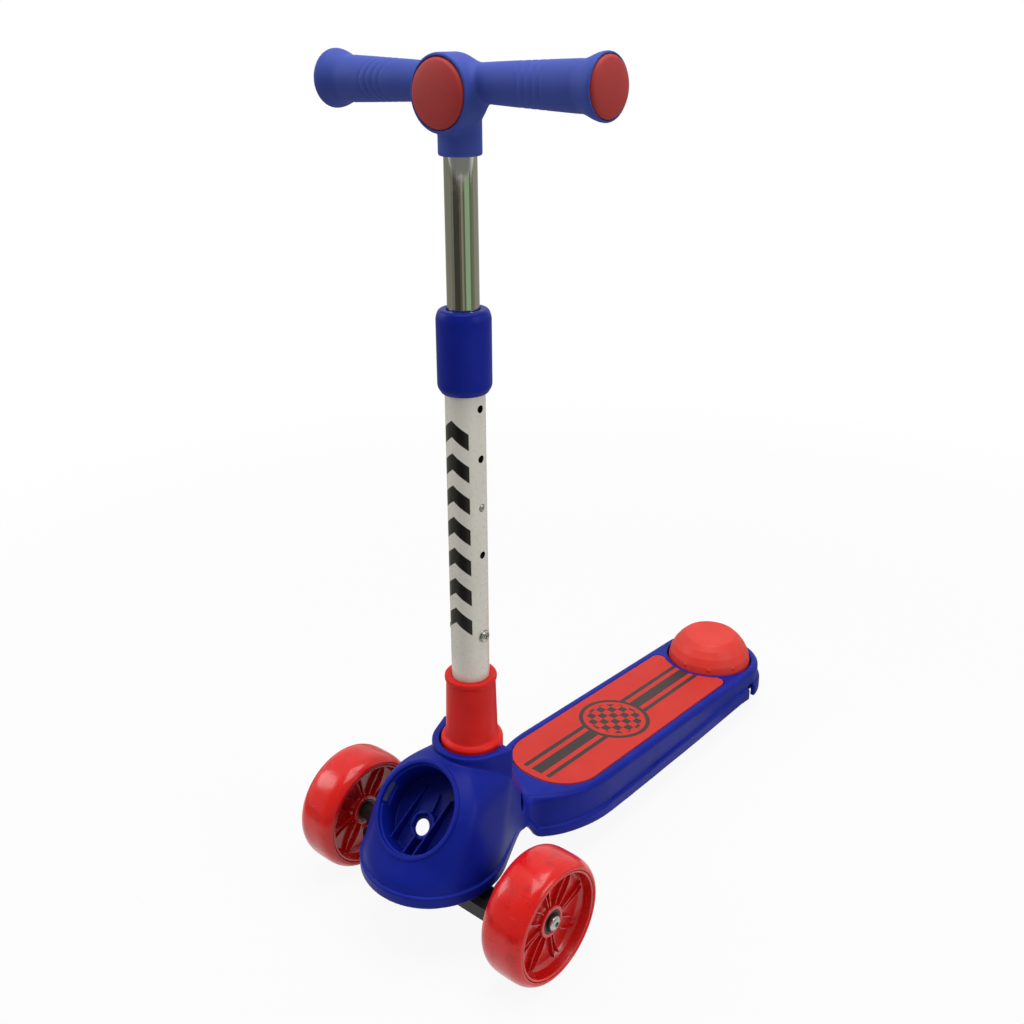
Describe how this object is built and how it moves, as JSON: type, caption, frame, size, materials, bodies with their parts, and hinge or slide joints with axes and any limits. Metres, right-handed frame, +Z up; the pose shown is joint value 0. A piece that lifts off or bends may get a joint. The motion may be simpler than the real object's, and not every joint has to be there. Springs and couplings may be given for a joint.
{
  "type": "three wheel kids scooter",
  "caption": "Lean-to-steer kids scooter with a narrow deck, height-adjustable T-bar, paired front wheels and a domed rear foot brake.",
  "frame": {"origin": "centre of the bounding box's bottom face, on the ground that the three wheels stand on", "axes": "+Z up along the steering column, -Y forward (the way it rolls), +X to the rider's left along the front axle"},
  "size_m": [0.304, 0.6374, 0.8008],
  "materials": {
    "blue_plastic": "satin moulded polypropylene",
    "grip_blue": "matte soft-touch moulding",
    "red_plastic": "satin moulded polypropylene",
    "red_mat": "fine-grained printed mat",
    "red_cap": "matte moulding",
    "urethane": "glossy translucent urethane",
    "wheel_core": "glossy moulded core",
    "white_tube": "gloss white powder coat",
    "chrome": "polished chrome",
    "steel": "zinc-plated steel",
    "black_nylon": "textured glass-filled nylon",
    "black_rubber": "matte elastomer"
  },
  "bodies": {
    "frame": {"deck_shell": "blue_plastic", "deck_mat": "red_mat", "lower_tube": "white_tube", "stem_insert": "steel", "column_bolt": "steel", "column_nut": "steel", "tube_sleeve": "blue_plastic", "steering_collar": "red_plastic", "glide_bush": "black_nylon", "kingpin": "steel", "kingpin_nut": "steel", "left_bumper": "black_rubber", "right_bumper": "black_rubber", "rear_axle_bolt": "steel", "rear_axle_nut": "steel", "rear_bearing_spacer": "steel", "rear_left_washer": "steel", "rear_right_washer": "steel", "left_brake_spring": "steel", "right_brake_spring": "steel"},
    "truck": {"truck_beam": "black_nylon", "upper_kingpin_bush": "black_nylon", "lower_kingpin_bush": "black_nylon", "left_axle_bolt": "steel", "right_axle_bolt": "steel", "left_bearing_spacer": "steel", "right_bearing_spacer": "steel"},
    "left_wheel": {"left_tyre": "urethane", "left_wheel_core": "wheel_core", "left_outer_bearing": "steel", "left_inner_bearing": "steel"},
    "right_wheel": {"right_tyre": "urethane", "right_wheel_core": "wheel_core", "right_outer_bearing": "steel", "right_inner_bearing": "steel"},
    "rear_wheel": {"rear_tyre": "urethane", "rear_wheel_core": "wheel_core", "rear_outer_bearing": "steel", "rear_inner_bearing": "steel"},
    "foot_brake": {"brake_dome": "red_plastic", "brake_pad": "steel", "left_brake_screw": "steel", "right_brake_screw": "steel"},
    "t_bar": {"upper_tube": "chrome", "foot_bush": "black_nylon", "handlebar_shell": "grip_blue", "cross_tube": "steel", "left_end_plug": "red_cap", "right_end_plug": "red_cap", "hub_cap": "red_cap"},
    "height_button": {"snap_clip": "steel"}
  },
  "joints": [
    {"name": "lean_steer", "type": "hinge", "parent": "frame", "child": "truck", "pos_m": [0, -0.26387, 0.11116], "axis": [0, -0.7337, 0.6794], "range_deg": [-9, 9], "stiffness_Nm_per_rad": 45, "deforming": ["left_bumper", "right_bumper"]},
    {"name": "left_wheel_spin", "type": "hinge", "parent": "truck", "child": "left_wheel", "pos_m": [0.1215, -0.23715, 0.06], "axis": [1, 0, 0], "continuous": true},
    {"name": "right_wheel_spin", "type": "hinge", "parent": "truck", "child": "right_wheel", "pos_m": [-0.1215, -0.23715, 0.06], "axis": [1, 0, 0], "continuous": true},
    {"name": "rear_wheel_spin", "type": "hinge", "parent": "frame", "child": "rear_wheel", "pos_m": [0, 0.25425, 0.04], "axis": [1, 0, 0], "continuous": true},
    {"name": "brake_press", "type": "slide", "parent": "frame", "child": "foot_brake", "axis": [0, 0, -1], "range_m": [0, 0.005], "stiffness_N_per_m": 2500, "springref_m": -0.002, "deforming": ["left_brake_spring", "right_brake_spring"]},
    {"name": "height_slide", "type": "slide", "parent": "frame", "child": "t_bar", "axis": [0, 0, 1], "range_m": [-0.046, 0.092], "deforming": ["snap_clip"]},
    {"name": "button_press", "type": "slide", "parent": "t_bar", "child": "height_button", "axis": [-1, 0, 0], "range_m": [0, 0.0036], "stiffness_N_per_m": 900, "springref_m": -0.002, "deforming": ["snap_clip"]}
  ]
}
